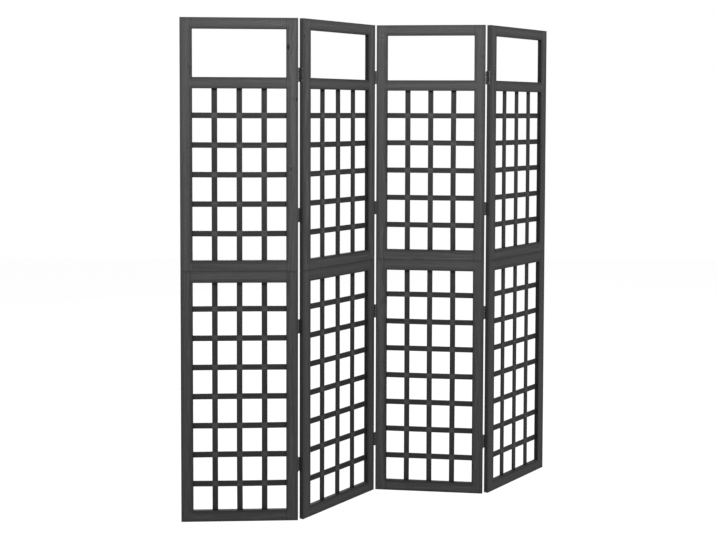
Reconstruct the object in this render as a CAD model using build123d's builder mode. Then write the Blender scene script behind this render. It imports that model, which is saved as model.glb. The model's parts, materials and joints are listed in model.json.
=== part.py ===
from build123d import *

import os
from dataclasses import dataclass
from math import radians, tan

# A free-standing folding screen of four hinged panels, in millimetres, +Z up.
# Each panel is two softwood lattice frames, the upper one dowelled onto the lower one.
# A panel's own directions are across (left to right along its width), back (through its
# thickness, away from the front) and up. The screen stands folded in a zigzag, with the
# middle of its bounding box over the origin and its feet on z = 0.

# Panels and their two sections
PANEL_WIDTH = 416.0
LOWER_HEIGHT = 900.0
UPPER_HEIGHT = 900.0
FRAME_DEPTH = 17.0
STILE_WIDTH = 42.0
RAIL_HEIGHT = 40.0
WINDOW_HEIGHT = 170.0
FRAME_EASE = 1.2

# Lattice
COLUMNS = 4
LOWER_ROWS = 8
UPPER_ROWS = 6
BAR_WIDTH = 20.0
BAR_DEPTH = 6.0
BAR_SETBACK = 9.5
BAR_EASE = 0.8

# Wood joints
JOINT_FIT = 0.1
TENON_LENGTH = 12.0
TENON_THICKNESS = 5.0
TENON_SHOULDER = 6.0
SOCKET_DEPTH = 6.0
DOWEL_RADIUS = 4.0
DOWEL_LENGTH = 40.0
DOWEL_EASE = 0.8

# Butt hinges between neighbouring panels
LEAF_GAP = 0.3
LEAF_THICKNESS = 1.5
LEAF_MARGIN = 2.5
LEAF_CORNER = 1.5
HINGE_HEIGHT = 50.0
HINGE_INSET = 200.0
KNUCKLES = 5
KNUCKLE_GAP = 0.25
BARREL_RADIUS = 2.6
BARREL_CLEARANCE = 0.2
PIN_RADIUS = 1.25
PIN_FIT = 0.05
PIN_HEAD_RADIUS = 2.1
PIN_HEAD_HEIGHT = 0.8

# Countersunk screws of the hinges
SCREW_LENGTH = 14.0
SCREW_RADIUS = 1.4
SCREW_TIP = 3.0
SCREW_HEAD_RADIUS = 2.6
SCREW_FIT = 0.05
SCREW_SINK = 0.1
SCREW_CONE = 90.0
SCREWS_PER_LEAF = 3
SCREW_MARGIN = 8.0
RECESS_LENGTH = 2.8
RECESS_WIDTH = 0.7
RECESS_DEPTH = 0.7
RECESS_TAPER = 20.0

# The pose: how far panel 1 turns from the x axis, then each fold's turn from flat
FIRST_TURN = 3.0
FOLD_TURNS = (49.9, -59.5, 58.6)

PANEL_COUNT = len(FOLD_TURNS) + 1
RAIL_LENGTH = PANEL_WIDTH - 2 * STILE_WIDTH
TENON_HEIGHT = RAIL_HEIGHT - 2 * TENON_SHOULDER
MID_DEPTH = FRAME_DEPTH / 2
BAR_MIDDLE = BAR_SETBACK + BAR_DEPTH / 2
STILE_MIDDLES = (STILE_WIDTH / 2, PANEL_WIDTH - STILE_WIDTH / 2)
OPENING_WIDTH = (RAIL_LENGTH - (COLUMNS - 1) * BAR_WIDTH) / COLUMNS
COLUMN_PITCH = OPENING_WIDTH + BAR_WIDTH
UPRIGHT_CENTRES = [
    STILE_WIDTH + column * COLUMN_PITCH - BAR_WIDTH / 2 for column in range(1, COLUMNS)
]
FLAT_GAP = 2 * LEAF_THICKNESS + LEAF_GAP
PIN_OFFSET = BARREL_RADIUS + BARREL_CLEARANCE
LEAF_REACH = FRAME_DEPTH - LEAF_MARGIN
KNUCKLE_PITCH = HINGE_HEIGHT / KNUCKLES
SCREW_SPACING = (HINGE_HEIGHT - 2 * SCREW_MARGIN) / (SCREWS_PER_LEAF - 1)
SCREW_SETBACK = MID_DEPTH
SCREW_CONE_SLOPE = tan(radians(SCREW_CONE / 2))
SCREW_HEAD_HEIGHT = (SCREW_HEAD_RADIUS - SCREW_RADIUS) / SCREW_CONE_SLOPE


@dataclass(frozen=True)
class Section:
    """One lattice frame of a panel: the lower one, or the upper one with its window."""

    name: str
    base: float
    height: float
    window: float
    rows: int

    @property
    def rails(self) -> list[float]:
        """The lower edge of each rail, lowest first."""
        top = self.base + self.height - RAIL_HEIGHT
        if self.window:
            return [self.base, top - self.window - RAIL_HEIGHT, top]
        return [self.base, top]

    @property
    def lattice_low(self) -> float:
        """The upper edge of the rail below the lattice."""
        return self.rails[0] + RAIL_HEIGHT

    @property
    def lattice_high(self) -> float:
        """The lower edge of the rail above the lattice."""
        return self.rails[1]

    @property
    def cross_centres(self) -> list[float]:
        """The height of each cross bar's middle, lowest first."""
        lattice = self.lattice_high - self.lattice_low
        opening = (lattice - (self.rows - 1) * BAR_WIDTH) / self.rows
        pitch = opening + BAR_WIDTH
        return [self.lattice_low + row * pitch - BAR_WIDTH / 2 for row in range(1, self.rows)]

    @property
    def hinge_heights(self) -> list[float]:
        """The height of each hinge's middle on the section's edge."""
        return [self.base + HINGE_INSET, self.base + self.height - HINGE_INSET]


SECTIONS = (
    Section("lower", 0.0, LOWER_HEIGHT, 0.0, LOWER_ROWS),
    Section("upper", LOWER_HEIGHT, UPPER_HEIGHT, WINDOW_HEIGHT, UPPER_ROWS),
)
HINGE_HEIGHTS = [height for section in SECTIONS for height in section.hinge_heights]
SCREW_HEIGHTS = [
    height + (step - (SCREWS_PER_LEAF - 1) / 2) * SCREW_SPACING
    for height in HINGE_HEIGHTS
    for step in range(SCREWS_PER_LEAF)
]


@dataclass(frozen=True)
class Panel:
    """Where one panel stands: x across, y back and z up from its front left foot."""

    name: str
    plan: Plane

    def level(self, height: float) -> Plane:
        """The panel's plan at a height."""
        return self.plan.offset(height)

    def front(self, depth: float) -> Plane:
        """A plane along the panel, depth behind its front: x across, y up, z forward."""
        origin = self.plan.from_local_coords((0, depth, 0))
        return Plane(origin, x_dir=self.plan.x_dir, z_dir=-self.plan.y_dir)

    def upright(self, across: float) -> Plane:
        """A plane square to the panel's width: x back, y up, z across."""
        origin = self.plan.from_local_coords((across, 0, 0))
        return Plane(origin, x_dir=self.plan.y_dir, z_dir=self.plan.x_dir)


@dataclass(frozen=True)
class HingedEdge:
    """One long edge of a panel that carries hinge leaves."""

    panel: Panel
    on_right: bool
    pins_behind: bool

    @property
    def outward(self) -> Vector:
        """The direction out of the edge, into the gap between the panels."""
        return self.panel.plan.x_dir * (1 if self.on_right else -1)

    @property
    def inward(self) -> Vector:
        """The direction from the face that the pins stand off, into the thickness."""
        return self.panel.plan.y_dir * (-1 if self.pins_behind else 1)

    def corner(self, height: float) -> Plane:
        """A level plane from the corner beside the pins: x outward, y into the thickness."""
        across = PANEL_WIDTH if self.on_right else 0.0
        depth = FRAME_DEPTH if self.pins_behind else 0.0
        origin = self.panel.plan.from_local_coords((across, depth, height))
        return Plane(origin, x_dir=self.outward, z_dir=self.outward.cross(self.inward))

    def face(self, height: float, standoff: float = 0.0) -> Plane:
        """A plane along the edge: x into the thickness, z outward from the wood."""
        origin = self.corner(height).from_local_coords((standoff, 0, 0))
        return Plane(origin, x_dir=self.inward, z_dir=self.outward)


def pins_are_behind(fold: int) -> bool:
    """Every other fold has its pins behind, so that the screen folds up in a zigzag."""
    return fold % 2 == 0


def pin_depth(fold: int) -> float:
    """How far back the pins of a fold stand from the panels' fronts."""
    return FRAME_DEPTH + PIN_OFFSET if pins_are_behind(fold) else -PIN_OFFSET


def next_plan(plan: Plane, fold: int) -> Plane:
    """The plan of the panel to the right of a fold, from that of the panel to its left."""
    pin = plan.from_local_coords((PANEL_WIDTH + FLAT_GAP / 2, pin_depth(fold), 0))
    turned = plan.rotated((0, 0, FOLD_TURNS[fold]))
    origin = pin + turned.x_dir * (FLAT_GAP / 2) - turned.y_dir * pin_depth(fold)
    return Plane(origin, x_dir=turned.x_dir, z_dir=turned.z_dir)


def standing_centre(plans: list[Plane]) -> Vector:
    """The middle of the box around all the panels' footprints, with their eased corners."""
    insets = (FRAME_EASE, PANEL_WIDTH - FRAME_EASE), (FRAME_EASE, FRAME_DEPTH - FRAME_EASE)
    spots = [
        plan.from_local_coords((across, back, 0))
        for plan in plans
        for across in insets[0]
        for back in insets[1]
    ]
    xs = [spot.X for spot in spots]
    ys = [spot.Y for spot in spots]
    return Vector((min(xs) + max(xs)) / 2, (min(ys) + max(ys)) / 2, 0)


def stand_panels() -> list[Panel]:
    """Chain the panels through their folds, then centre the screen on the origin."""
    plans = [Plane.XY.rotated((0, 0, FIRST_TURN))]
    for fold in range(PANEL_COUNT - 1):
        plans.append(next_plan(plans[-1], fold))
    centre = standing_centre(plans)
    return [
        Panel(f"panel_{number}", Plane(plan.origin - centre, x_dir=plan.x_dir, z_dir=plan.z_dir))
        for number, plan in enumerate(plans, 1)
    ]


def make_stile(panel: Panel, section: Section, on_right: bool, edges: list[HingedEdge]) -> Part:
    """One upright of a frame, with its mortises, sockets, dowel bore and screw holes."""
    middle = STILE_MIDDLES[on_right]
    into = 1 if on_right else -1
    inner_face = panel.upright(middle - into * STILE_WIDTH / 2)
    with BuildPart() as stile:
        with BuildSketch(panel.level(section.base)):
            with Locations((middle, MID_DEPTH)):
                Rectangle(STILE_WIDTH, FRAME_DEPTH)
        extrude(amount=section.height)
        fillet(stile.edges(), FRAME_EASE)
        # Mortises for the rails' tenons
        with BuildSketch(inner_face):
            with Locations(*[(MID_DEPTH, rail + RAIL_HEIGHT / 2) for rail in section.rails]):
                Rectangle(TENON_THICKNESS + 2 * JOINT_FIT, TENON_HEIGHT + 2 * JOINT_FIT)
        extrude(amount=into * (TENON_LENGTH + JOINT_FIT), mode=Mode.SUBTRACT)
        # Sockets for the cross bars' ends
        with BuildSketch(inner_face):
            with Locations(*[(BAR_MIDDLE, height) for height in section.cross_centres]):
                Rectangle(BAR_DEPTH + 2 * JOINT_FIT, BAR_WIDTH + 2 * JOINT_FIT)
        extrude(amount=into * (SOCKET_DEPTH + JOINT_FIT), mode=Mode.SUBTRACT)
        # The end bore for the dowel that joins the sections
        with BuildSketch(panel.level(LOWER_HEIGHT)):
            with Locations((middle, MID_DEPTH)):
                Circle(DOWEL_RADIUS + JOINT_FIT)
        extrude(amount=DOWEL_LENGTH / 2 + JOINT_FIT, both=True, mode=Mode.SUBTRACT)
        # Screw holes under the hinge leaves
        for edge in edges:
            for height in section.hinge_heights:
                with BuildSketch(edge.face(height)):
                    with Locations((SCREW_SETBACK, 0)):
                        with GridLocations(0, SCREW_SPACING, 1, SCREWS_PER_LEAF):
                            Circle(SCREW_RADIUS + SCREW_FIT)
                extrude(amount=LEAF_THICKNESS - SCREW_LENGTH - JOINT_FIT, mode=Mode.SUBTRACT)
    return stile.part


def make_rails(panel: Panel, section: Section) -> Part:
    """The rails of a frame, with a stub tenon at each end and sockets along the lattice."""
    middles = [(MID_DEPTH, rail + RAIL_HEIGHT / 2) for rail in section.rails]
    with BuildPart() as rails:
        with BuildSketch(panel.upright(STILE_WIDTH)):
            with Locations(*middles):
                RectangleRounded(FRAME_DEPTH, RAIL_HEIGHT, FRAME_EASE)
        extrude(amount=RAIL_LENGTH)
        with BuildSketch(panel.upright(STILE_WIDTH - TENON_LENGTH)):
            with Locations(*middles):
                Rectangle(TENON_THICKNESS, TENON_HEIGHT)
        extrude(amount=RAIL_LENGTH + 2 * TENON_LENGTH)
        # Sockets for the upright bars' ends, below and above the lattice
        for height, into in ((section.lattice_low, -1), (section.lattice_high, 1)):
            with BuildSketch(panel.level(height)):
                with Locations(*[(across, BAR_MIDDLE) for across in UPRIGHT_CENTRES]):
                    Rectangle(BAR_WIDTH + 2 * JOINT_FIT, BAR_DEPTH + 2 * JOINT_FIT)
            extrude(amount=into * (SOCKET_DEPTH + JOINT_FIT), mode=Mode.SUBTRACT)
    return rails.part


def crossings(section: Section) -> list[tuple[float, float]]:
    """Where the bars cross, across and up."""
    return [(across, height) for across in UPRIGHT_CENTRES for height in section.cross_centres]


def make_upright_bars(panel: Panel, section: Section) -> Part:
    """The upright bars, with their front half cut away at each crossing."""
    with BuildPart() as bars:
        with BuildSketch(panel.level(section.lattice_low - SOCKET_DEPTH)):
            with Locations(*[(across, BAR_MIDDLE) for across in UPRIGHT_CENTRES]):
                RectangleRounded(BAR_WIDTH, BAR_DEPTH, BAR_EASE)
        extrude(amount=section.lattice_high - section.lattice_low + 2 * SOCKET_DEPTH)
        with BuildSketch(panel.front(BAR_MIDDLE)):
            with Locations(*crossings(section)):
                Rectangle(BAR_WIDTH, BAR_WIDTH + 2 * JOINT_FIT)
        extrude(amount=BAR_DEPTH / 2, mode=Mode.SUBTRACT)
    return bars.part


def make_cross_bars(panel: Panel, section: Section) -> Part:
    """The cross bars, with their back half cut away at each crossing."""
    with BuildPart() as bars:
        with BuildSketch(panel.upright(STILE_WIDTH - SOCKET_DEPTH)):
            with Locations(*[(BAR_MIDDLE, height) for height in section.cross_centres]):
                RectangleRounded(BAR_DEPTH, BAR_WIDTH, BAR_EASE)
        extrude(amount=RAIL_LENGTH + 2 * SOCKET_DEPTH)
        with BuildSketch(panel.front(BAR_MIDDLE)):
            with Locations(*crossings(section)):
                Rectangle(BAR_WIDTH + 2 * JOINT_FIT, BAR_WIDTH)
        extrude(amount=-BAR_DEPTH / 2, mode=Mode.SUBTRACT)
    return bars.part


def make_dowels(panel: Panel) -> Part:
    """The dowels that hold the upper section on the lower one, one in each stile."""
    with BuildPart() as dowels:
        with BuildSketch(panel.level(LOWER_HEIGHT)):
            with Locations(*[(middle, MID_DEPTH) for middle in STILE_MIDDLES]):
                Circle(DOWEL_RADIUS)
        extrude(amount=DOWEL_LENGTH / 2, both=True)
        chamfer(dowels.edges().filter_by(GeomType.CIRCLE), DOWEL_EASE)
    return dowels.part


def make_leaf(edge: HingedEdge) -> Part:
    """One hinge leaf, its middle on the floor: three knuckles on a right edge, else two."""
    pin = (FLAT_GAP / 2, -PIN_OFFSET)
    plate_start = BARREL_RADIUS + KNUCKLE_GAP - PIN_OFFSET
    own = range(0, KNUCKLES, 2) if edge.on_right else range(1, KNUCKLES, 2)
    mouth = SCREW_HEAD_RADIUS + SCREW_SINK * SCREW_CONE_SLOPE + SCREW_FIT
    with BuildPart() as leaf:
        # The plate on the edge, its far corners rounded
        with BuildSketch(edge.face(0)) as plate:
            with Locations(((plate_start + LEAF_REACH) / 2, 0)):
                Rectangle(LEAF_REACH - plate_start, HINGE_HEIGHT)
            fillet(plate.vertices().sort_by(Axis.X)[-2:], LEAF_CORNER)
        extrude(amount=LEAF_THICKNESS)
        # Each knuckle's tube and the neck that carries it
        for index in own:
            height = (index - (KNUCKLES - 1) / 2) * KNUCKLE_PITCH
            with BuildSketch(edge.corner(height)):
                with Locations(pin):
                    Circle(BARREL_RADIUS)
                with Locations((LEAF_THICKNESS / 2, (plate_start - PIN_OFFSET) / 2)):
                    Rectangle(LEAF_THICKNESS, plate_start + PIN_OFFSET)
            extrude(amount=(KNUCKLE_PITCH - KNUCKLE_GAP) / 2, both=True)
        with BuildSketch(edge.corner(0)):
            with Locations(pin):
                Circle(PIN_RADIUS + PIN_FIT)
        extrude(amount=HINGE_HEIGHT / 2, both=True, mode=Mode.SUBTRACT)
        # Countersunk screw holes
        with Locations(edge.face(0, LEAF_THICKNESS)):
            with Locations((SCREW_SETBACK, 0)):
                with GridLocations(0, SCREW_SPACING, 1, SCREWS_PER_LEAF):
                    CounterSinkHole(
                        radius=SCREW_RADIUS + SCREW_FIT,
                        counter_sink_radius=mouth,
                        depth=2 * LEAF_THICKNESS,
                        counter_sink_angle=SCREW_CONE,
                    )
    return leaf.part


def make_pin(edge: HingedEdge) -> Part:
    """One hinge pin, its middle on the floor, with a flattened head at each end."""
    with BuildPart() as pin:
        with BuildSketch(edge.corner(0)):
            with Locations((FLAT_GAP / 2, -PIN_OFFSET)):
                Circle(PIN_RADIUS)
        extrude(amount=HINGE_HEIGHT / 2, both=True)
        for end in (-1, 1):
            with BuildSketch(edge.corner(end * (HINGE_HEIGHT + PIN_HEAD_HEIGHT) / 2)):
                with Locations((FLAT_GAP / 2, -PIN_OFFSET)):
                    Circle(PIN_HEAD_RADIUS)
            extrude(amount=PIN_HEAD_HEIGHT / 2, both=True)
    return pin.part


def make_screw(edge: HingedEdge) -> Part:
    """One screw through a leaf, at floor level, with a cross recess in its head."""
    seat = edge.face(0, LEAF_THICKNESS)
    axis_start = seat.from_local_coords((SCREW_SETBACK, 0, 0))
    with BuildPart() as screw:
        with BuildSketch(Plane(axis_start, x_dir=seat.x_dir, z_dir=seat.y_dir)):
            with BuildLine():
                Polyline(
                    (0, SCREW_SINK),
                    (SCREW_HEAD_RADIUS, SCREW_SINK),
                    (SCREW_RADIUS, SCREW_SINK + SCREW_HEAD_HEIGHT),
                    (SCREW_RADIUS, SCREW_LENGTH - SCREW_TIP),
                    (0, SCREW_LENGTH),
                    close=True,
                )
            make_face()
        revolve(axis=Axis(axis_start, seat.z_dir))
        with BuildSketch(seat.offset(-SCREW_SINK)):
            with Locations((SCREW_SETBACK, 0)):
                Rectangle(RECESS_LENGTH, RECESS_WIDTH)
                Rectangle(RECESS_WIDTH, RECESS_LENGTH)
        extrude(amount=-RECESS_DEPTH, taper=RECESS_TAPER, mode=Mode.SUBTRACT)
    return screw.part


def raise_copies(piece: Part, heights: list[float]) -> Part:
    """Copies of a piece that was made at floor level, one at each height."""
    with BuildPart() as copies:
        with Locations(*[(0, 0, height) for height in heights]):
            add(piece)
    return copies.part


def write_node(name: str, part: Part) -> None:
    """Label a finished piece and write it to its own file."""
    part.label = name
    export_step(part, f"parts/{name}.step")


def main() -> None:
    """Build every piece of the screen."""
    os.makedirs("parts", exist_ok=True)
    panels = stand_panels()
    folds = [
        (
            HingedEdge(panels[fold], True, pins_are_behind(fold)),
            HingedEdge(panels[fold + 1], False, pins_are_behind(fold)),
        )
        for fold in range(PANEL_COUNT - 1)
    ]
    edges = [edge for fold in folds for edge in fold]

    for panel in panels:
        for section in SECTIONS:
            prefix = f"{panel.name}_{section.name}"
            for on_right, side in ((False, "left"), (True, "right")):
                own = [e for e in edges if e.panel is panel and e.on_right == on_right]
                write_node(f"{prefix}_{side}_stile", make_stile(panel, section, on_right, own))
            write_node(f"{prefix}_rails", make_rails(panel, section))
            write_node(f"{prefix}_upright_bars", make_upright_bars(panel, section))
            write_node(f"{prefix}_cross_bars", make_cross_bars(panel, section))
        write_node(f"{panel.name}_dowels", make_dowels(panel))

    for number, (left, right) in enumerate(folds, 1):
        for edge, side in ((left, "left"), (right, "right")):
            leaves = raise_copies(make_leaf(edge), HINGE_HEIGHTS)
            write_node(f"fold_{number}_{side}_leaves", leaves)
            screws = raise_copies(make_screw(edge), SCREW_HEIGHTS)
            write_node(f"fold_{number}_{side}_screws", screws)
        write_node(f"fold_{number}_pins", raise_copies(make_pin(left), HINGE_HEIGHTS))


if __name__ == "__main__":
    main()
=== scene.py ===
"""Dresses the trellis folding screen: stained fir, bowed lattice bars, black hinges and a plain studio."""

import json
import logging
import math
import random
from dataclasses import dataclass
from enum import Enum

import bpy
from mathutils import Matrix, Vector

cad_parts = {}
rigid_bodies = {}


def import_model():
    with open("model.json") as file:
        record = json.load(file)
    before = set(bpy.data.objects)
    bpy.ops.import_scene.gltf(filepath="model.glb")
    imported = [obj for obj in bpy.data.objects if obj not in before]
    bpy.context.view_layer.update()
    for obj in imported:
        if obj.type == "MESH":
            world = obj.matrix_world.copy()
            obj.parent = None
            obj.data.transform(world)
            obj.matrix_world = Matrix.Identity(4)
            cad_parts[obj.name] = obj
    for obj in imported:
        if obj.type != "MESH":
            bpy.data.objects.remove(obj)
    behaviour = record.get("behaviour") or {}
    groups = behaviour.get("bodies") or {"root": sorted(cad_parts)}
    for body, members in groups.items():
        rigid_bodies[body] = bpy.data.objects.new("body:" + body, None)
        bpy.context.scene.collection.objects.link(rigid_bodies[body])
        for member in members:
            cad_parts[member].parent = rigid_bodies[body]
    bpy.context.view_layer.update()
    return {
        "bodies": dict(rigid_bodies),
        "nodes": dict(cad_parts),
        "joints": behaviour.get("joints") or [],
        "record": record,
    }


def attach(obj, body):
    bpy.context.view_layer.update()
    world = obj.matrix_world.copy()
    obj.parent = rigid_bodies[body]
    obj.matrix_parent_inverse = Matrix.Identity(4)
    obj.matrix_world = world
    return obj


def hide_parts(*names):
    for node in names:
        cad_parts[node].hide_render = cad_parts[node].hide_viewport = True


log = logging.getLogger("folding_screen")

MM = 0.001
PHOTO_WIDTH = 716
PHOTO_HEIGHT = 540


@dataclass(frozen=True)
class Sizes:
    """The sizes of one panel in millimetres, which the finishes and the bars' grid share.

    Attributes:
        width: The panel from edge to edge.
        depth: The frame from front to back.
        section: Height of one of the two sections.
        stile: Width of a stile.
        rail: Height of a rail.
        window: Height of the open window.
        column_pitch: From the middle of one upright bar to the next.
        row_pitch: From the middle of one cross bar to the next.
        bars_middle: From the frame's front to the middle of the bars' depth.
    """

    width: float = 416.0
    depth: float = 17.0
    section: float = 900.0
    stile: float = 42.0
    rail: float = 40.0
    window: float = 170.0
    column_pitch: float = 88.0
    row_pitch: float = 105.0
    bars_middle: float = 12.5

    @property
    def middle(self) -> float:
        """Half the width, where the middle upright bar stands."""
        return self.width / 2

    @property
    def half_opening(self) -> float:
        """Half the width between the stiles."""
        return self.middle - self.stile

    @property
    def lower_middle(self) -> float:
        """Height of the lower lattice's middle above its section's foot."""
        return self.section / 2

    @property
    def lower_half(self) -> float:
        """Half the height of the lower lattice."""
        return self.lower_middle - self.rail

    @property
    def upper_loss(self) -> float:
        """Half of what the window and its rail take from the upper lattice's height."""
        return (self.window + self.rail) / 2

    @property
    def window_middle(self) -> float:
        """Height of the window's middle above its section's foot."""
        return self.section - self.rail - self.window / 2

    @property
    def first_upright(self) -> float:
        """Middle of the first upright bar from the panel's left edge."""
        return self.middle - self.column_pitch

    @property
    def first_row(self) -> float:
        """Height above its section's foot of the grid's lowest row, which lies in the bottom rail."""
        return self.lower_middle - 4 * self.row_pitch


SIZES = Sizes()


class Grain(Enum):
    """The way a board's fibres run in a panel."""

    UPRIGHT = "upright"
    CROSS = "cross"


class Number:
    """A value in a material's node tree that takes plain arithmetic."""

    def __init__(self, tree: bpy.types.NodeTree, socket: bpy.types.NodeSocket) -> None:
        """Keeps the tree and the socket that carries the value."""
        self.tree = tree
        self.socket = socket

    def math(self, operation: str, first: "Number | float", *others: "Number | float") -> "Number":
        """Adds one Math node.

        Args:
            operation: Name of the Math node's operation.
            first: The node's first input.
            others: The inputs after it.

        Returns:
            The node's result.
        """
        node = self.tree.nodes.new("ShaderNodeMath")
        node.operation = operation
        for socket, value in zip(node.inputs, (first, *others)):
            feed(self.tree, value, socket)
        return Number(self.tree, node.outputs[0])

    def __add__(self, other: "Number | float") -> "Number":
        """Sum."""
        return self.math("ADD", self, other)

    def __radd__(self, other: float) -> "Number":
        """Sum with a plain number first."""
        return self.math("ADD", other, self)

    def __sub__(self, other: "Number | float") -> "Number":
        """Difference."""
        return self.math("SUBTRACT", self, other)

    def __rsub__(self, other: float) -> "Number":
        """Difference from a plain number."""
        return self.math("SUBTRACT", other, self)

    def __mul__(self, other: "Number | float") -> "Number":
        """Product."""
        return self.math("MULTIPLY", self, other)

    def __rmul__(self, other: float) -> "Number":
        """Product with a plain number first."""
        return self.math("MULTIPLY", other, self)

    def __truediv__(self, other: "Number | float") -> "Number":
        """Quotient."""
        return self.math("DIVIDE", self, other)

    def __pow__(self, other: float) -> "Number":
        """Power."""
        return self.math("POWER", self, other)

    def __abs__(self) -> "Number":
        """Size without its sign."""
        return self.math("ABSOLUTE", self)

    def floor(self) -> "Number":
        """Next whole number down."""
        return self.math("FLOOR", self)

    def rounded(self) -> "Number":
        """Nearest whole number."""
        return self.math("ROUND", self)

    def fraction(self) -> "Number":
        """What is left over the next whole number down."""
        return self.math("FRACT", self)

    def least(self, other: "Number | float") -> "Number":
        """The smaller of two values."""
        return self.math("MINIMUM", self, other)

    def most(self, other: "Number | float") -> "Number":
        """The larger of two values."""
        return self.math("MAXIMUM", self, other)

    def above(self, other: float) -> "Number":
        """One where the value is over the other, and zero elsewhere."""
        return self.math("GREATER_THAN", self, other)

    def step(self, low: float, high: float) -> "Number":
        """Rises smoothly from zero to one.

        Args:
            low: Value at which the rise starts, or ends where it is over high.
            high: Value at which the rise ends.

        Returns:
            The smooth step.
        """
        node = self.tree.nodes.new("ShaderNodeMapRange")
        node.interpolation_type = "SMOOTHSTEP"
        feed(self.tree, self, node.inputs["Value"])
        flipped = low > high
        node.inputs["From Min"].default_value = min(low, high)
        node.inputs["From Max"].default_value = max(low, high)
        node.inputs["To Min"].default_value = 1.0 if flipped else 0.0
        node.inputs["To Max"].default_value = 0.0 if flipped else 1.0
        return Number(self.tree, node.outputs["Result"])


def feed(tree: bpy.types.NodeTree, value: "Number | float", socket: bpy.types.NodeSocket) -> None:
    """Feeds a socket from another node or with a constant.

    Args:
        tree: Node tree of the socket.
        value: A worked out value or a plain number.
        socket: Input that receives it.
    """
    if isinstance(value, Number):
        tree.links.new(value.socket, socket)
    else:
        socket.default_value = value


@dataclass(frozen=True)
class Place:
    """Where one panel stands: its front left foot in metres and its turn about the vertical in degrees."""

    number: int
    x: float
    y: float
    turn: float

    def point(self, across: float, back: float, up: float) -> Vector:
        """Turns a point on the panel, in millimetres, into the shared frame in metres."""
        turned = Matrix.Rotation(math.radians(self.turn), 4, "Z") @ Vector((across * MM, back * MM, up * MM))
        return Vector((self.x, self.y, 0.0)) + turned


class Shader:
    """One material's node tree with the few nodes that all finishes share."""

    def __init__(self, name: str) -> None:
        """Starts a material with a plain principled surface."""
        self.material = bpy.data.materials.new(name)
        self.material.use_nodes = True
        self.tree = self.material.node_tree
        self.surface = self.tree.nodes["Principled BSDF"]

    def spot(self, place: Place) -> tuple[Number, Number, Number]:
        """Reads the shaded point's place on a panel.

        Args:
            place: The panel.

        Returns:
            Millimetres across, back and up from the panel's front left foot.
        """
        coordinates = self.tree.nodes.new("ShaderNodeTexCoord")
        mapping = self.tree.nodes.new("ShaderNodeMapping")
        mapping.vector_type = "TEXTURE"
        mapping.inputs["Location"].default_value = (place.x, place.y, 0.0)
        mapping.inputs["Rotation"].default_value = (0.0, 0.0, math.radians(place.turn))
        mapping.inputs["Scale"].default_value = (MM, MM, MM)
        self.tree.links.new(coordinates.outputs["Object"], mapping.inputs["Vector"])
        return self.split(mapping.outputs["Vector"])

    def split(self, socket: bpy.types.NodeSocket) -> tuple[Number, Number, Number]:
        """Takes a vector or a colour apart into three numbers."""
        node = self.tree.nodes.new("ShaderNodeSeparateXYZ")
        self.tree.links.new(socket, node.inputs[0])
        x, y, z = (Number(self.tree, output) for output in node.outputs)
        return x, y, z

    def vector(self, x: Number | float, y: Number | float, z: Number | float) -> bpy.types.NodeSocket:
        """Joins three numbers to a vector."""
        node = self.tree.nodes.new("ShaderNodeCombineXYZ")
        for socket, value in zip(node.inputs, (x, y, z)):
            feed(self.tree, value, socket)
        return node.outputs[0]

    def noise(self, x: Number, y: Number, z: Number, detail: float = 2.0) -> Number:
        """Smooth noise.

        Args:
            x: First coordinate, where one is the size of a grain of the noise.
            y: Second coordinate.
            z: Third coordinate.
            detail: Number of finer layers.

        Returns:
            Noise between zero and one.
        """
        node = self.tree.nodes.new("ShaderNodeTexNoise")
        node.inputs["Scale"].default_value = 1.0
        node.inputs["Detail"].default_value = detail
        self.tree.links.new(self.vector(x, y, z), node.inputs["Vector"])
        return Number(self.tree, node.outputs["Fac"])

    def draws(self, x: Number | float, y: Number | float, z: Number | float) -> tuple[Number, Number, Number]:
        """Three random numbers between zero and one that stay the same for the same whole numbers."""
        node = self.tree.nodes.new("ShaderNodeTexWhiteNoise")
        node.noise_dimensions = "3D"
        self.tree.links.new(self.vector(x, y, z), node.inputs["Vector"])
        return self.split(node.outputs["Color"])

    def tone(self, value: Number, tint: tuple[float, float, float]) -> None:
        """Colours the surface with a grey level times a tint."""
        node = self.tree.nodes.new("ShaderNodeCombineColor")
        for socket, share in zip(node.inputs, tint):
            feed(self.tree, value * share, socket)
        self.tree.links.new(node.outputs[0], self.surface.inputs["Base Color"])

    def bump(self, height: Number, depth: float) -> None:
        """Raises the surface by a height between zero and one.

        Args:
            height: The relief.
            depth: Millimetres between its lowest and highest point.
        """
        node = self.tree.nodes.new("ShaderNodeBump")
        node.inputs["Strength"].default_value = 1.0
        node.inputs["Distance"].default_value = depth * MM
        feed(self.tree, height, node.inputs["Height"])
        self.tree.links.new(node.outputs["Normal"], self.surface.inputs["Normal"])


@dataclass(frozen=True)
class Knot:
    """A dark knot on a stile's face: panel number, place and radius in millimetres, and how dark it is."""

    panel: int
    across: float
    up: float
    radius: float
    depth: float


KNOTS = (
    Knot(1, 381.0, 1697.0, 7.0, 1.15),
    Knot(1, 411.0, 1512.0, 5.0, 0.8),
    Knot(1, 392.0, 1265.0, 4.0, 0.55),
    Knot(2, 7.0, 1736.0, 5.0, 0.45),
    Knot(3, 405.0, 1680.0, 4.5, 0.45),
    Knot(3, 379.0, 110.0, 4.5, 0.4),
)


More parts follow.
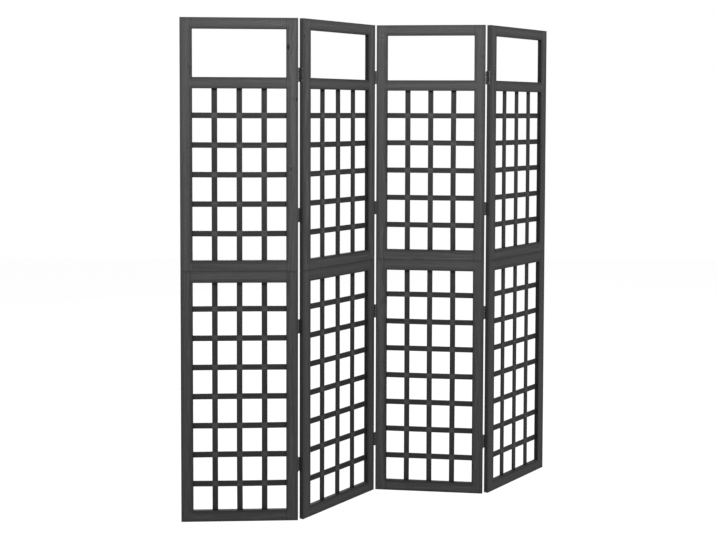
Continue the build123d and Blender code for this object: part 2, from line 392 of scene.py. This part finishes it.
@dataclass(frozen=True)
class StainedFir:
    """Fir boards under a charcoal stain and a thin satin lacquer.

    The growth rings, fibres and knots show as lines of lighter and darker grey. Painted shade darkens the
    thin bars except where two bars cross, the frame round the openings, the faces of the openings and the
    seam between the sections, and the wood grows darker towards the foot as painted shade too; the panel's
    outer edges are also darker. Lengths are in millimetres. A band is a pair of distances between which a
    tone fades in.

    Attributes:
        dark: Grey of the darkest lines.
        light: Grey of the lightest lines.
        ring_share: How much the growth rings show.
        fibre_share: How much the fibres show.
        streak_share: How much the long streaks show.
        ring_width: From one growth ring to the next.
        pith_spread: How far the pith lines of the boards differ sideways.
        pith_wander: How far one pith line wanders sideways.
        pith_depth: Least distance of the pith lines in front of the panel.
        pith_range: How far the pith lines of the boards differ in depth.
        ripple_depth: How far the rings ripple.
        fibre_width: Width of a fibre.
        fibre_length: Length of a fibre.
        streak_width: Width of a streak.
        streak_depth: Depth of a streak.
        streak_length: Length of a streak.
        board_tones: Share by which the boards' tones differ.
        knot_room: Length of board that may hold one small knot.
        knot_draw: Draw over which a length has its knot.
        knot_side: Width of the strip that small knots are spread over.
        knot_band: Where a small knot's darkness fades in.
        swirl_band: Where the rings start to bend round a small knot.
        bar_painted_shade: Share of the tone that painted shade takes from thin bars and from the frame round
            the openings.
        outer_edge_darkening: Share of the tone taken along the panel's outer edges.
        seam_painted_shade: Share of the tone that painted shade takes at the seam between the sections.
        lip_painted_shade: The same on the faces of the openings.
        bar_band: Distances from a bar's middle.
        opening_band: Distances inside the edge of an opening.
        outer_band: Distances inside the panel's outer edges.
        seam_band: Distances from the seam.
        lip_start: Where the lip of an opening fades in.
        lip_end: Where the lip of the lattice's opening fades out.
        painted_foot_shade: Share of its tone that the wood keeps at the foot under painted shade.
        painted_top_light: Share of its tone that it gains from the foot to the top, as painted light.
        roughness: Middle roughness.
        specular: Level of the lacquer's gloss.
        relief: Depth of the grain.
    """

    dark: float = 0.028
    light: float = 0.078
    ring_share: float = 0.42
    fibre_share: float = 0.38
    streak_share: float = 0.35
    ring_width: float = 4.6
    pith_spread: float = 46.0
    pith_wander: float = 70.0
    pith_depth: float = 14.0
    pith_range: float = 40.0
    ripple_depth: float = 5.0
    fibre_width: float = 1.1
    fibre_length: float = 46.0
    streak_width: float = 8.0
    streak_depth: float = 9.0
    streak_length: float = 420.0
    board_tones: float = 0.09
    knot_room: float = 310.0
    knot_draw: float = 0.72
    knot_side: float = 22.0
    knot_band: tuple[float, float] = (3.6, 1.6)
    swirl_band: tuple[float, float] = (16.0, 2.0)
    bar_painted_shade: float = 0.56
    outer_edge_darkening: float = 0.36
    seam_painted_shade: float = 0.26
    lip_painted_shade: float = 0.82
    bar_band: tuple[float, float] = (6.0, 14.0)
    opening_band: tuple[float, float] = (-18.0, 4.0)
    outer_band: tuple[float, float] = (17.0, -3.0)
    seam_band: tuple[float, float] = (9.0, 1.0)
    lip_start: tuple[float, float] = (-1.6, -0.4)
    lip_end: tuple[float, float] = (1.2, 0.4)
    painted_foot_shade: float = 0.86
    painted_top_light: float = 0.15
    roughness: float = 0.6
    specular: float = 0.14
    relief: float = 0.05

    def material(self, place: Place, grain: Grain) -> bpy.types.Material:
        """Makes the finish for the boards of one panel whose fibres run one way.

        Args:
            place: The panel.
            grain: The way the fibres run.

        Returns:
            The material.
        """
        shader = Shader(f"stained_fir_panel_{place.number}_{grain.value}")
        across, back, up = shader.spot(place)
        storey = up.above(SIZES.section)
        level = up - storey * SIZES.section
        if grain is Grain.UPRIGHT:
            board = ((across - SIZES.first_upright + SIZES.column_pitch / 2) / SIZES.column_pitch).floor()
            wide, along = across, up
            middle = board * SIZES.column_pitch + SIZES.first_upright
        else:
            board = ((level - SIZES.first_row + SIZES.row_pitch / 2) / SIZES.row_pitch).floor()
            board = board + storey * 20.0 + 40.0
            wide, along = up, across
            middle = (level / SIZES.row_pitch).rounded() * SIZES.row_pitch + storey * SIZES.section
        draw, shift, shade = shader.draws(board, storey * 7.0 + 3.0, float(place.number))
        knot, swirl = self._knots(shader, place, grain, wide, along, board)
        rings = self._rings(shader, wide - middle, back, along, draw, shift, swirl)
        fibres = shader.noise(wide / self.fibre_width + shift * 90.0, back / self.fibre_width,
                              along / self.fibre_length + draw * 60.0, 3.0)
        streaks = shader.noise(wide / self.streak_width + draw * 50.0, back / self.streak_depth,
                               along / self.streak_length + shift * 30.0, 2.0)
        line = rings * self.ring_share + fibres.step(0.25, 0.75) * self.fibre_share
        line = line + streaks.step(0.2, 0.8) * self.streak_share
        grey = line * (self.light - self.dark) + self.dark
        grey = grey * (shade * self.board_tones + 1.0 - self.board_tones / 2)
        # Painted shade and the darker outer edges scale the grain's grey.
        grey = grey * self._tone_under_painted_shade(across, up, level, storey)
        grey = grey * (1.0 - knot.least(1.0) * 0.82)
        shader.tone(grey, (1.0, 1.0, 1.0))
        rough = self.roughness - 0.05 + fibres * 0.1 + knot * 0.06
        feed(shader.tree, rough, shader.surface.inputs["Roughness"])
        shader.surface.inputs["Specular IOR Level"].default_value = self.specular
        shader.bump(fibres * 0.6 + rings * 0.4, self.relief)
        return shader.material

    def _rings(self, shader: Shader, wide: Number, back: Number, along: Number, draw: Number, shift: Number,
               swirl: Number) -> Number:
        """Growth rings round a pith line that wanders outside the board.

        Args:
            shader: The material's shader.
            wide: Millimetres across the board from a line in or beside it.
            back: Millimetres into the board.
            along: Millimetres along the board.
            draw: The board's first random number.
            shift: The board's second random number.
            swirl: How far knots push the rings, in millimetres.

        Returns:
            Zero in the soft spring wood, rising to one at each ring's hard line.
        """
        wander = shader.noise(wide / 90.0 + draw * 40.0, back / 90.0, along / 380.0 + shift * 50.0, 1.0)
        ripple = shader.noise(wide / 14.0, back / 14.0 + shift * 20.0, along / 120.0 + draw * 80.0, 2.0)
        side = wide + (draw - 0.5) * self.pith_spread + (wander - 0.5) * self.pith_wander
        deep = back + shift * self.pith_range + self.pith_depth
        reach = (side * side + deep * deep) ** 0.5
        turns = (reach + ripple * self.ripple_depth + swirl) / self.ring_width
        part = turns.fraction()
        return part * part * part.step(1.0, 0.86)

    def _knots(self, shader: Shader, place: Place, grain: Grain, wide: Number, along: Number,
               board: Number) -> tuple[Number, Number]:
        """Small knots at random and, on the stiles, those of the photograph.

        Args:
            shader: The material's shader.
            place: The panel.
            grain: The way the fibres run.
            wide: Millimetres across the boards.
            along: Millimetres along the boards.
            board: Whole number of the board.

        Returns:
            How much of a knot the point is in, and how far the rings bend round it in millimetres.
        """
        room = (along / self.knot_room).floor()
        where, side, chance = shader.draws(board, room + 100.0, place.number + 0.5)
        pitch = SIZES.column_pitch if grain is Grain.UPRIGHT else SIZES.row_pitch
        offset = SIZES.first_upright if grain is Grain.UPRIGHT else 0.0
        middle = (wide - offset) / pitch
        aside = (middle - middle.rounded()) * pitch - (side - 0.5) * self.knot_side
        off = along - (room + 0.2 + where * 0.6) * self.knot_room
        reach = (aside * aside + off * off * 0.55) ** 0.5
        drawn = chance.above(self.knot_draw)
        dark = reach.step(*self.knot_band) * drawn * 0.55
        swirl = reach.step(*self.swirl_band) * drawn * 4.0
        if grain is Grain.UPRIGHT:
            for seen in (k for k in KNOTS if k.panel == place.number):
                aside = wide - seen.across
                off = along - seen.up
                reach = (aside * aside + off * off * 0.4) ** 0.5
                dark = dark.most(reach.step(seen.radius + 1.0, seen.radius * 0.5) * seen.depth)
                swirl = swirl + reach.step(seen.radius * 4.0, 2.0) * 5.0
        return dark, swirl

    def _tone_under_painted_shade(self, across: Number, up: Number, level: Number, storey: Number) -> Number:
        """How much of its tone the wood keeps under painted shade and the darker outer edges.

        Args:
            across: Millimetres across the panel.
            up: Millimetres up the panel.
            level: Millimetres up the section.
            storey: One in the upper section and zero in the lower one.

        Returns:
            Near one on the broad frames, less on the thin bars away from their crossings, round and on the
            faces of the openings, at the seam and towards the outer edges, and less towards the foot.
        """
        x = abs(across - SIZES.middle)
        z = abs(level - (SIZES.lower_middle - storey * SIZES.upper_loss))
        column = (x / SIZES.column_pitch).rounded().least(1.0)
        row = (z / SIZES.row_pitch).rounded().least(3.0 - storey)
        beside = abs(x - column * SIZES.column_pitch).step(*self.bar_band)
        between = abs(z - row * SIZES.row_pitch).step(*self.bar_band)
        trellis = (SIZES.half_opening - x).least(SIZES.lower_half - storey * SIZES.upper_loss - z)
        opening = (SIZES.half_opening - x).least(SIZES.window / 2 - abs(level - SIZES.window_middle))
        inside = trellis.step(*self.opening_band)
        window = opening.step(*self.opening_band) * storey
        lip = trellis.step(*self.lip_start) * trellis.step(*self.lip_end)
        lip = lip.most(opening.step(*self.lip_start) * storey)
        outside = (SIZES.middle - x).least(SIZES.section - abs(up - SIZES.section)).step(*self.outer_band)
        seam = abs(up - SIZES.section).step(*self.seam_band)
        # Painted shade on the bars away from their crossings, round the openings, on the openings' faces and
        # at the seam; the outer edges are darker too.
        thin = (inside * beside.most(between)).most(window) * self.bar_painted_shade
        worst = thin.most(outside * self.outer_edge_darkening).most(seam * self.seam_painted_shade).most(lip * self.lip_painted_shade)
        # Painted shade: the tone falls from the top towards the foot.
        return (1.0 - worst) * (up / (2.0 * SIZES.section) * self.painted_top_light + self.painted_foot_shade)


@dataclass(frozen=True)
class PlainBeech:
    """Unfinished beech of the dowels hidden between the sections.

    Attributes:
        light: Red share of its colour.
        roughness: Its roughness.
    """

    light: float = 0.52
    roughness: float = 0.62

    def material(self, place: Place) -> bpy.types.Material:
        """Makes the finish for one panel's dowels."""
        shader = Shader(f"plain_beech_panel_{place.number}")
        across, back, up = shader.spot(place)
        pores = shader.noise(across / 0.6, back / 0.6, up / 7.0, 2.0)
        shader.tone(self.light * (pores * 0.3 + 0.85), (1.0, 0.69, 0.42))
        shader.surface.inputs["Roughness"].default_value = self.roughness
        shader.bump(pores, 0.04)
        return shader.material


@dataclass(frozen=True)
class BlackSteel:
    """Black painted pressed steel of the hinges.

    The paint is off to bare steel where the knuckles meet, and on the part of the top hinges near the panels'
    fronts; this bare steel is partly wear and partly painted glints, put on the top hinges only. Lengths are
    in millimetres. A band is a pair of distances between which the bare steel fades in.

    Attributes:
        paint: Grey of the paint.
        bare: Grey of the bare steel, which is partly wear and partly painted glint.
        roughness: Middle roughness.
        knuckle: Length of one knuckle.
        rim_band: Distances from the line where two knuckles meet.
        pin_band: Distances from the pin's axis.
        hinge_height: Height of the middle of the top hinges.
        end_band: Distances from that middle.
        front_band: Distances behind the panel's front.
        top_band: Heights over which the wear and painted glints of the top hinges start.
    """

    paint: float = 0.022
    bare: float = 0.5
    roughness: float = 0.36
    knuckle: float = 10.0
    rim_band: tuple[float, float] = (0.5, 0.1)
    pin_band: tuple[float, float] = (3.4, 2.4)
    hinge_height: float = 1600.0
    end_band: tuple[float, float] = (19.0, 23.0)
    front_band: tuple[float, float] = (8.6, 5.6)
    top_band: tuple[float, float] = (1500.0, 1560.0)

    def material(self, name: str, place: Place, pin: Vector, wear_and_glint: float) -> bpy.types.Material:
        """Makes the finish for one fold's leaves or pins.

        Args:
            name: Name of the material.
            place: A panel beside the fold.
            pin: A point on the pins' shared axis, in metres.
            wear_and_glint: How bare the steel is where its paint is off, as wear and as painted glints.

        Returns:
            The material.
        """
        shader = Shader(name)
        across, back, up = shader.spot(place)
        home = Matrix.Rotation(math.radians(-place.turn), 4, "Z") @ (pin - Vector((place.x, place.y, 0.0)))
        aside = across - home.x / MM
        off = back - home.y / MM
        reach = (aside * aside + off * off) ** 0.5
        cloud = shader.noise(across / 2.6, back / 2.6, up / 2.6, 3.0)
        rim = ((up - self.knuckle / 2) / self.knuckle + 0.5).fraction() - 0.5
        # Bare steel at the knuckle rims and on the top hinges' fronts: partly wear, partly painted glints.
        knuckles = (abs(rim) * self.knuckle - cloud * 1.1).step(*self.rim_band) * reach.step(*self.pin_band)
        ends = abs(up - self.hinge_height).step(*self.end_band)
        rub_and_glint = (back + cloud * 3.0).step(*self.front_band) * ends.most(cloud.step(0.5, 0.58))
        rub_and_glint = rub_and_glint * up.step(*self.top_band)
        bright = (knuckles + rub_and_glint * 2.4).least(1.0) * wear_and_glint
        speck = shader.noise(across / 0.5, back / 0.5, up / 0.5, 1.0)
        painted = (1.0 - bright) * (cloud * 0.008 + self.paint - 0.004)
        shader.tone(painted + bright * self.bare, (1.0, 1.0, 1.02))
        feed(shader.tree, bright, shader.surface.inputs["Metallic"])
        rough = self.roughness + (cloud - 0.5) * 0.16 - bright * 0.08
        feed(shader.tree, rough, shader.surface.inputs["Roughness"])
        shader.bump(speck, 0.015)
        return shader.material


@dataclass(frozen=True)
class BlackScrews:
    """Black oxide on the hinge screws, scuffed lighter by the driver.

    Attributes:
        oxide: Grey of the oxide.
        roughness: Its roughness.
    """

    oxide: float = 0.03
    roughness: float = 0.42

    def material(self, place: Place) -> bpy.types.Material:
        """Makes the finish for the screws beside one panel."""
        shader = Shader(f"black_screws_panel_{place.number}")
        across, back, up = shader.spot(place)
        scuff = shader.noise(across / 0.8, back / 0.8, up / 0.8, 3.0).step(0.58, 0.72)
        shader.tone(scuff * 0.05 + self.oxide, (1.0, 1.0, 1.0))
        shader.surface.inputs["Metallic"].default_value = 0.6
        shader.surface.inputs["Roughness"].default_value = self.roughness
        return shader.material


@dataclass
class Section:
    """The lattice of one half of a panel, on the grid of its bars.

    Attributes:
        name: lower or upper.
        first_row: Height of the grid's lowest row, in the bottom rail, in millimetres.
        rows: Number of rows of the grid, the rows in the rails included.
        columns: Number of columns of the grid, the columns in the stiles included.
        room: Depth of the cage that bends the bars, in millimetres.
    """

    name: str
    first_row: float
    rows: int
    columns: int = 5
    room: float = 12.0

    @property
    def first_column(self) -> float:
        """Millimetres from the panel's left edge to the grid's first column, in the left stile."""
        return SIZES.first_upright - SIZES.column_pitch


SECTIONS = (Section("lower", SIZES.first_row, 9), Section("upper", SIZES.section + SIZES.first_row, 7))


@dataclass
class Lattice:
    """The thin bars of one section of a panel, which have bowed a little since they were planed.

    Attributes:
        place: Where the panel stands.
        section: The section's grid.
        chance: The source of the bars' random bows.
        bow: Largest sideways bow of an upright bar, in millimetres.
        lift_share: Largest bow of a cross bar as a share of that.
        bellies: Lowest and highest place of a bow's peak, as shares of the cage's height.
        weld: Metres within which corners are joined.
        flat: Degrees within which faces are taken for one flat face.
        sharp: Degrees over which an edge stays sharp.
    """

    place: Place
    section: Section
    chance: random.Random
    bow: float = 1.1
    lift_share: float = 0.8
    bellies: tuple[float, float] = (0.35, 0.65)
    weld: float = 0.000002
    flat: float = 0.5
    sharp: float = 40.0

    def build(self, nodes: dict[str, bpy.types.Object], finishes: dict[Grain, bpy.types.Material]) -> None:
        """Copies the section's bars, bends them together and lets them stand for the straight ones.

        Args:
            nodes: The frame's nodes by name.
            finishes: The panel's two wood finishes.
        """
        panel = f"panel_{self.place.number}"
        cage = self._cage()
        for grain, kind in ((Grain.UPRIGHT, "upright_bars"), (Grain.CROSS, "cross_bars")):
            node = f"{panel}_{self.section.name}_{kind}"
            piece = self._copy(nodes[node], f"{node}_bowed")
            self._divide(piece, grain)
            self._bend(piece, cage)
            piece.data.materials.clear()
            piece.data.materials.append(finishes[grain])
            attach(piece, panel)
            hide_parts(node)
        select(cage)
        bpy.ops.object.delete()
        log.info("%s %s bars bowed by up to %.1f mm", panel, self.section.name, self.bow)

    def _copy(self, node: bpy.types.Object, name: str) -> bpy.types.Object:
        """Makes a separate piece with its own mesh from a node of the frame."""
        piece = bpy.data.objects.new(name, node.data.copy())
        piece.data.name = name
        bpy.context.collection.objects.link(piece)
        select(piece)
        bpy.ops.object.mode_set(mode="EDIT")
        bpy.ops.mesh.select_all(action="SELECT")
        bpy.ops.mesh.remove_doubles(threshold=self.weld)
        bpy.ops.mesh.dissolve_limited(angle_limit=math.radians(self.flat))
        bpy.ops.object.mode_set(mode="OBJECT")
        return piece

    def _divide(self, piece: bpy.types.Object, grain: Grain) -> None:
        """Cuts the bars' faces into short lengths so that they can bend.

        Args:
            piece: The bars.
            grain: The way the bars run.
        """
        section = self.section
        turn = math.radians(self.place.turn)
        if grain is Grain.UPRIGHT:
            half = SIZES.row_pitch / 2
            steps = range(1, 2 * section.rows - 2)
            cuts = [self.place.point(0.0, 0.0, section.first_row + half * n) for n in steps]
            normal = Vector((0.0, 0.0, 1.0))
        else:
            half = SIZES.column_pitch / 2
            steps = range(1, 2 * section.columns - 2)
            cuts = [self.place.point(section.first_column + half * n, 0.0, 0.0) for n in steps]
            normal = Vector((math.cos(turn), math.sin(turn), 0.0))
        select(piece)
        bpy.ops.object.mode_set(mode="EDIT")
        for cut in cuts:
            bpy.ops.mesh.select_all(action="SELECT")
            bpy.ops.mesh.bisect(plane_co=cut, plane_no=normal)
        bpy.ops.mesh.select_all(action="SELECT")
        bpy.ops.mesh.quads_convert_to_tris(quad_method="BEAUTY", ngon_method="BEAUTY")
        bpy.ops.object.mode_set(mode="OBJECT")

    def _cage(self) -> bpy.types.Object:
        """Makes the lattice cage on the bars' grid and bows it, with its border held still."""
        section = self.section
        width = (section.columns - 1) * SIZES.column_pitch
        height = (section.rows - 1) * SIZES.row_pitch
        across = section.first_column + width / 2
        middle = self.place.point(across, SIZES.bars_middle, section.first_row + height / 2)
        turn = math.radians(self.place.turn)
        bpy.ops.object.select_all(action="DESELECT")
        bpy.ops.object.add(type="LATTICE", location=middle, rotation=(0.0, 0.0, turn))
        cage = bpy.context.object
        cage.scale = (width * MM, section.room * MM, height * MM)
        grid = cage.data
        grid.points_u = section.columns
        grid.points_v = 2
        grid.points_w = section.rows
        grid.interpolation_type_u = "KEY_CARDINAL"
        grid.interpolation_type_v = "KEY_LINEAR"
        grid.interpolation_type_w = "KEY_CARDINAL"
        uprights = [self.chance.uniform(-1.0, 1.0) for _ in range(section.columns)]
        crosses = [self.chance.uniform(-1.0, 1.0) for _ in range(section.rows)]
        bellies = [self.chance.uniform(*self.bellies) for _ in range(section.columns)]
        for index, point in enumerate(list(grid.points)):
            column = index % section.columns
            row = index // (section.columns * 2)
            if column in (0, section.columns - 1) or row in (0, section.rows - 1):
                continue
            rise = row / (section.rows - 1)
            belly = math.sin(math.pi * rise ** (math.log(0.5) / math.log(bellies[column])))
            sag = math.sin(math.pi * column / (section.columns - 1))
            aside = self.bow * uprights[column] * belly
            lift = self.bow * self.lift_share * crosses[row] * sag
            rest = point.co_deform
            point.co_deform = (rest.x + aside / width, rest.y, rest.z + lift / height)
        return cage

    def _bend(self, piece: bpy.types.Object, cage: bpy.types.Object) -> None:
        """Bends the bars with the cage and smooths their eased edges.

        Args:
            piece: The bars.
            cage: The bowed lattice cage.
        """
        select(piece)
        modifier = piece.modifiers.new("bow", "LATTICE")
        modifier.object = cage
        bpy.ops.object.modifier_apply(modifier=modifier.name)
        bpy.ops.object.shade_smooth_by_angle(angle=math.radians(self.sharp))
        evener = piece.modifiers.new("even_faces", "WEIGHTED_NORMAL")
        evener.keep_sharp = True
        bpy.ops.object.modifier_apply(modifier=evener.name)


def select(piece: bpy.types.Object) -> None:
    """Selects one object alone and makes it active."""
    bpy.ops.object.select_all(action="DESELECT")
    piece.select_set(True)
    bpy.context.view_layer.objects.active = piece


@dataclass
class Screen:
    """The folding screen: where its panels stand, and how its frames, bars and hinges are finished.

    Attributes:
        frame: What the frame's loader returns.
        fold_gap: Millimetres between two panels that lie flat in one plane.
        pin_reach: Millimetres from a panel's face to the pins' axis.
        first_turn: Degrees that the left panel is turned.
        fold_turns: Degrees from each panel to the next at rest.
        wear_and_glint: How bare each fold's hinges are where their paint is off, as wear and as painted
            glints.
        pin_wear_and_glint: How much barer the pins are than the leaves, in wear and painted glints alike.
        seed_step: From one panel's random seeds to the next panel's.
    """

    frame: dict
    fold_gap: float = 3.3
    pin_reach: float = 2.8
    first_turn: float = 3.0
    fold_turns: tuple[float, ...] = (49.9, -59.5, 58.6)
    # Bare steel on each fold's hinges, partly wear and partly painted glints, strongest on the third fold.
    wear_and_glint: tuple[float, ...] = (0.25, 0.15, 0.75)
    pin_wear_and_glint: float = 1.4
    seed_step: int = 40

    def places(self) -> list[Place]:
        """Works out where the panels stand from the frame's joints.

        Returns:
            The four panels' places, left to right.
        """
        pins = [Vector(joint["pos_m"]) for joint in self.frame["joints"]]
        turn = self.first_turn
        found = []
        for number in range(1, 5):
            pin = pins[min(number, 3) - 1]
            depth = -self.pin_reach if number == 2 else SIZES.depth + self.pin_reach
            reach = SIZES.width + self.fold_gap / 2 if number < 4 else -self.fold_gap / 2
            arm = Matrix.Rotation(math.radians(turn), 4, "Z") @ Vector((reach * MM, depth * MM, 0.0))
            found.append(Place(number, pin.x - arm.x, pin.y - arm.y, turn))
            if number < 4:
                turn += self.fold_turns[number - 1]
        return found

    def build(self) -> None:
        """Finishes every node of the frame and adds the bowed bars."""
        places = self.places()
        for place in places:
            self._panel(place)
        for number in range(1, 4):
            self._fold(number, places[number - 1], places[number])

    def _panel(self, place: Place) -> None:
        """Finishes one panel.

        Args:
            place: Where the panel stands.
        """
        nodes = self.frame["nodes"]
        fir = StainedFir()
        finishes = {grain: fir.material(place, grain) for grain in Grain}
        for section in SECTIONS:
            root = f"panel_{place.number}_{section.name}"
            coat(nodes[f"{root}_left_stile"], finishes[Grain.UPRIGHT])
            coat(nodes[f"{root}_right_stile"], finishes[Grain.UPRIGHT])
            coat(nodes[f"{root}_rails"], finishes[Grain.CROSS])
            chance = random.Random(self.seed_step * place.number + section.rows)
            Lattice(place, section, chance).build(nodes, finishes)
        coat(nodes[f"panel_{place.number}_dowels"], PlainBeech().material(place))
        log.info("panel %d finished at %.3f, %.3f turned %.1f", place.number, place.x, place.y, place.turn)

    def _fold(self, number: int, left: Place, right: Place) -> None:
        """Finishes the hinges between two panels.

        Args:
            number: The fold's number.
            left: The panel on its left.
            right: The panel on its right.
        """
        nodes = self.frame["nodes"]
        pin = Vector(self.frame["joints"][number - 1]["pos_m"])
        steel = BlackSteel()
        wear_and_glint = self.wear_and_glint[number - 1]
        for side, place in (("left", left), ("right", right)):
            name = f"fold_{number}_{side}"
            coat(nodes[f"{name}_leaves"], steel.material(f"black_steel_{name}", place, pin, wear_and_glint))
            coat(nodes[f"{name}_screws"], BlackScrews().material(place))
        pins = steel.material(f"black_steel_pins_{number}", left, pin, wear_and_glint * self.pin_wear_and_glint)
        coat(nodes[f"fold_{number}_pins"], pins)
        log.info("fold %d hinges finished", number)


def coat(node: bpy.types.Object, finish: bpy.types.Material) -> None:
    """Gives a node of the frame its finish.

    Args:
        node: The node's object.
        finish: The material for all its slots.
    """
    if not node.material_slots:
        node.data.materials.append(finish)
    for slot in node.material_slots:
        slot.material = finish


@dataclass(frozen=True)
class Lamp:
    """A soft rectangular lamp: its place, what it points at, its size in metres and its power in watts."""

    name: str
    place: tuple[float, float, float]
    target: tuple[float, float, float]
    size: tuple[float, float]
    power: float

    def light(self) -> None:
        """Adds the lamp to the scene."""
        data = bpy.data.lights.new(self.name, "AREA")
        data.shape = "RECTANGLE"
        data.size, data.size_y = self.size
        data.energy = self.power
        lamp = bpy.data.objects.new(self.name, data)
        lamp.location = self.place
        aim = Vector(self.target) - Vector(self.place)
        lamp.rotation_euler = aim.to_track_quat("-Z", "Y").to_euler()
        bpy.context.collection.objects.link(lamp)


@dataclass
class Studio:
    """The pale floor, the soft lamps, the white surround and the camera of the photograph.

    Attributes:
        lamps: The soft lamps.
        fill: Strength of the surround's light for all but the eye, gloss and glass.
        floor_reach: Half the floor's side, in metres.
        floor_paint: Grey of the floor where it throws light on the screen.
        floor_shade: Grey of the floor that takes the screen's faint shadow.
        floor_glow: Strength of the floor's own white.
        focal: Focal length in pixels of the photograph.
        principal: The point straight ahead of the lens, in pixels from the upper left corner.
        eye: Place of the camera, in metres.
        pitch: Degrees that the camera looks up, or down where it is under zero.
        roll: Degrees that the camera is rolled.
    """

    lamps: tuple[Lamp, ...] = (
        Lamp("key_lamp", (0.5, -2.5, 3.5), (0.0, 0.0, 1.2), (2.2, 1.6), 184.0),
        Lamp("rear_lamp", (-1.6, 3.0, 3.0), (0.0, 0.0, 1.0), (2.0, 1.6), 130.0),
    )
    fill: float = 0.2
    floor_reach: float = 7.0
    floor_paint: float = 0.5
    floor_shade: float = 0.1
    floor_glow: float = 0.96
    focal: float = 1152.05
    principal: tuple[float, float] = (390.0, 160.0)
    eye: tuple[float, float, float] = (0.0529, -4.39374, 1.4765)
    pitch: float = -2.49
    roll: float = 0.22

    def build(self) -> None:
        """Sets up the whole studio."""
        self._surround()
        self._floor()
        for lamp in self.lamps:
            lamp.light()
        self._camera()
        bpy.context.scene.view_settings.view_transform = "Standard"
        log.info("studio ready")

    def _surround(self) -> None:
        """White to the eye and to gloss, and a soft even fill for everything else."""
        world = bpy.data.worlds.new("white_surround")
        world.use_nodes = True
        bpy.context.scene.world = world
        tree = world.node_tree
        background = tree.nodes["Background"]
        background.inputs["Color"].default_value = (1.0, 1.0, 1.0, 1.0)
        feed(tree, self._seen(tree) * (1.0 - self.fill) + self.fill, background.inputs["Strength"])

    def _seen(self, tree: bpy.types.NodeTree) -> Number:
        """One for rays from the eye, from gloss or through glass, and zero for the rest."""
        rays = tree.nodes.new("ShaderNodeLightPath")
        camera = Number(tree, rays.outputs["Is Camera Ray"])
        gloss = Number(tree, rays.outputs["Is Glossy Ray"])
        glass = Number(tree, rays.outputs["Is Transmission Ray"])
        return camera.most(gloss).most(glass)

    def _floor(self) -> None:
        """A pale floor that looks white and keeps a faint shadow of the screen."""
        bpy.ops.object.select_all(action="DESELECT")
        bpy.ops.mesh.primitive_plane_add(size=2.0 * self.floor_reach, location=(0.0, 0.0, 0.0))
        floor = bpy.context.object
        floor.name = "pale_floor"
        material = bpy.data.materials.new("pale_floor")
        material.use_nodes = True
        tree = material.node_tree
        tree.nodes.remove(tree.nodes["Principled BSDF"])
        paint = tree.nodes.new("ShaderNodeBsdfDiffuse")
        paint.inputs["Color"].default_value = (self.floor_paint, self.floor_paint, self.floor_paint, 1.0)
        faint = tree.nodes.new("ShaderNodeBsdfDiffuse")
        faint.inputs["Color"].default_value = (self.floor_shade, self.floor_shade, self.floor_shade, 1.0)
        glow = tree.nodes.new("ShaderNodeEmission")
        glow.inputs["Strength"].default_value = self.floor_glow
        both = tree.nodes.new("ShaderNodeAddShader")
        mix = tree.nodes.new("ShaderNodeMixShader")
        tree.links.new(glow.outputs[0], both.inputs[0])
        tree.links.new(faint.outputs[0], both.inputs[1])
        tree.links.new(self._seen(tree).socket, mix.inputs[0])
        tree.links.new(paint.outputs[0], mix.inputs[1])
        tree.links.new(both.outputs[0], mix.inputs[2])
        tree.links.new(mix.outputs[0], tree.nodes["Material Output"].inputs["Surface"])
        floor.data.materials.append(material)

    def _camera(self) -> None:
        """The camera whose frame and lens match the photograph."""
        data = bpy.data.cameras.new("photo_camera")
        data.sensor_fit = "HORIZONTAL"
        data.sensor_width = 36.0
        data.lens = self.focal / PHOTO_WIDTH * data.sensor_width
        data.shift_x = (PHOTO_WIDTH / 2 - self.principal[0]) / PHOTO_WIDTH
        data.shift_y = (self.principal[1] - PHOTO_HEIGHT / 2) / PHOTO_WIDTH
        data.clip_end = 60.0
        camera = bpy.data.objects.new("photo_camera", data)
        level = Matrix.Rotation(math.radians(90.0 + self.pitch), 4, "X")
        camera.rotation_euler = (level @ Matrix.Rotation(math.radians(self.roll), 4, "Z")).to_euler()
        camera.location = self.eye
        bpy.context.collection.objects.link(camera)
        bpy.context.scene.camera = camera


def main() -> None:
    """Loads the frame, dresses the screen and sets up the studio."""
    logging.basicConfig(level=logging.INFO, format="%(name)s: %(message)s")
    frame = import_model()
    Screen(frame).build()
    Studio().build()


if __name__ == "__main__":
    main()
